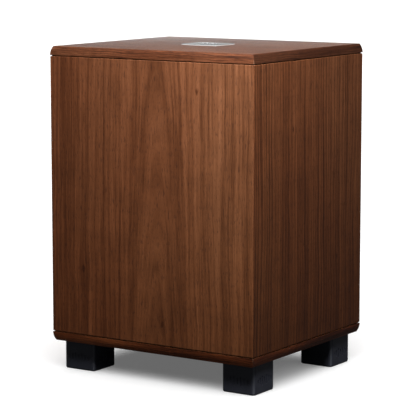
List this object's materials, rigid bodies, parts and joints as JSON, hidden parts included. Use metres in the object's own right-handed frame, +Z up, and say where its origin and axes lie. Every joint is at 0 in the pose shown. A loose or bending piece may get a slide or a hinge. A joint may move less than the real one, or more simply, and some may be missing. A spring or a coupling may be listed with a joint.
{
  "type": "subwoofer",
  "caption": "Closed-box active subwoofer: walnut-veneered cabinet on square rubber feet, down-firing driver underneath, rear amplifier panel with knobs, switches and sockets.",
  "frame": {"origin": "on the floor plane under the feet, at the centre of the bounding box", "axes": "+Z up, -Y towards the plain front, +Y towards the amplifier panel, +X to the right as seen from the front"},
  "size_m": [0.334, 0.305, 0.4601],
  "materials": {
    "walnut_walls": "satin",
    "walnut_boards": "satin",
    "fibreboard": "matte",
    "wadding": "matte",
    "badge_steel": "satin",
    "bright_chrome": "polished",
    "foot_rubber": "matte",
    "zinc_steel": "satin",
    "black_steel": "satin",
    "frame_black": "matte",
    "gasket_foam": "matte",
    "trim_plastic": "matte",
    "surround_rubber": "matte",
    "cone_pulp": "matte",
    "spider_cloth": "matte",
    "former_aluminium": "satin",
    "coil_copper": "satin",
    "magnet_ferrite": "matte",
    "circuit_board": "satin",
    "capacitor_sleeve": "gloss",
    "heatsink_aluminium": "satin",
    "chip_plastic": "matte",
    "winding_copper": "gloss",
    "amp_black": "matte",
    "knob_plastic": "matte",
    "pot_zinc": "satin",
    "switch_nickel": "polished",
    "black_plastic": "satin",
    "gold_plate": "polished",
    "jack_plastic": "satin",
    "socket_plastic": "satin",
    "light_lens": "gloss",
    "lead_cover": "satin",
    "tinsel_copper": "satin"
  },
  "bodies": {
    "cabinet": {"front_panel": "walnut_walls", "left_panel": "walnut_walls", "right_panel": "walnut_walls", "rear_panel": "walnut_walls", "top_lid": "walnut_boards", "base_board": "walnut_boards", "driver_baffle": "fibreboard", "window_brace": "fibreboard", "wadding_pads": "wadding", "badge_plate": "badge_steel", "badge_emblem": "bright_chrome", "foot_front_left": "foot_rubber", "foot_front_right": "foot_rubber", "foot_rear_left": "foot_rubber", "foot_rear_right": "foot_rubber", "foot_bolts": "zinc_steel", "foot_inserts": "zinc_steel", "driver_frame": "frame_black", "driver_gasket": "gasket_foam", "trim_ring": "trim_plastic", "driver_surround": "surround_rubber", "spider": "spider_cloth", "magnet_top_plate": "zinc_steel", "magnet": "magnet_ferrite", "magnet_yoke": "zinc_steel", "driver_terminals": "trim_plastic", "tinsel_leads": "tinsel_copper", "driver_screws": "black_steel", "driver_tee_nuts": "zinc_steel", "amp_plate": "amp_black", "amp_gasket": "gasket_foam", "amp_screws": "black_steel", "main_board": "circuit_board", "board_standoffs": "switch_nickel", "capacitors": "capacitor_sleeve", "heatsink": "heatsink_aluminium", "output_transistors": "chip_plastic", "transformer": "winding_copper", "transformer_mount": "zinc_steel", "input_board": "circuit_board", "control_pots": "pot_zinc", "phase_switch": "switch_nickel", "power_switch": "black_plastic", "mains_inlet": "black_plastic", "inlet_pins": "switch_nickel", "phono_jacks": "gold_plate", "jack_insulators": "jack_plastic", "high_level_socket": "socket_plastic", "status_light": "light_lens", "speaker_leads": "lead_cover"},
    "cone_assembly": {"driver_cone": "cone_pulp", "dust_cap": "cone_pulp", "coil_former": "former_aluminium", "voice_coil": "coil_copper"},
    "lfe_level_knob": {"lfe_level_knob": "knob_plastic"},
    "level_knob": {"level_knob": "knob_plastic"},
    "crossover_knob": {"crossover_knob": "knob_plastic"},
    "phase_lever": {"phase_toggle": "switch_nickel"},
    "power_button": {"power_rocker": "black_plastic"},
    "fuse_tray": {"fuse_drawer": "black_plastic"}
  },
  "joints": [
    {"name": "cone_stroke", "type": "slide", "parent": "cabinet", "child": "cone_assembly", "axis": [0, 0, 1], "range_m": [-0.01, 0.01], "stiffness_N_per_m": 1500, "springref_m": 0.0007, "deforming": ["driver_surround", "spider", "tinsel_leads"]},
    {"name": "lfe_level_knob_turn", "type": "hinge", "parent": "cabinet", "child": "lfe_level_knob", "pos_m": [0.06, 0.1435, 0.37], "axis": [0, -1, 0], "range_deg": [-140, 140]},
    {"name": "level_knob_turn", "type": "hinge", "parent": "cabinet", "child": "level_knob", "pos_m": [0.06, 0.1435, 0.33], "axis": [0, -1, 0], "range_deg": [-140, 140]},
    {"name": "crossover_knob_turn", "type": "hinge", "parent": "cabinet", "child": "crossover_knob", "pos_m": [0.06, 0.1435, 0.29], "axis": [0, -1, 0], "range_deg": [-140, 140]},
    {"name": "phase_lever_flip", "type": "hinge", "parent": "cabinet", "child": "phase_lever", "pos_m": [0.06, 0.1395, 0.254], "axis": [1, 0, 0], "range_deg": [0, 24]},
    {"name": "power_rock", "type": "hinge", "parent": "cabinet", "child": "power_button", "pos_m": [-0.058, 0.136, 0.22], "axis": [1, 0, 0], "range_deg": [0, 16]},
    {"name": "fuse_tray_slide", "type": "slide", "parent": "cabinet", "child": "fuse_tray", "axis": [0, 1, 0], "range_m": [0, 0.018]}
  ]
}
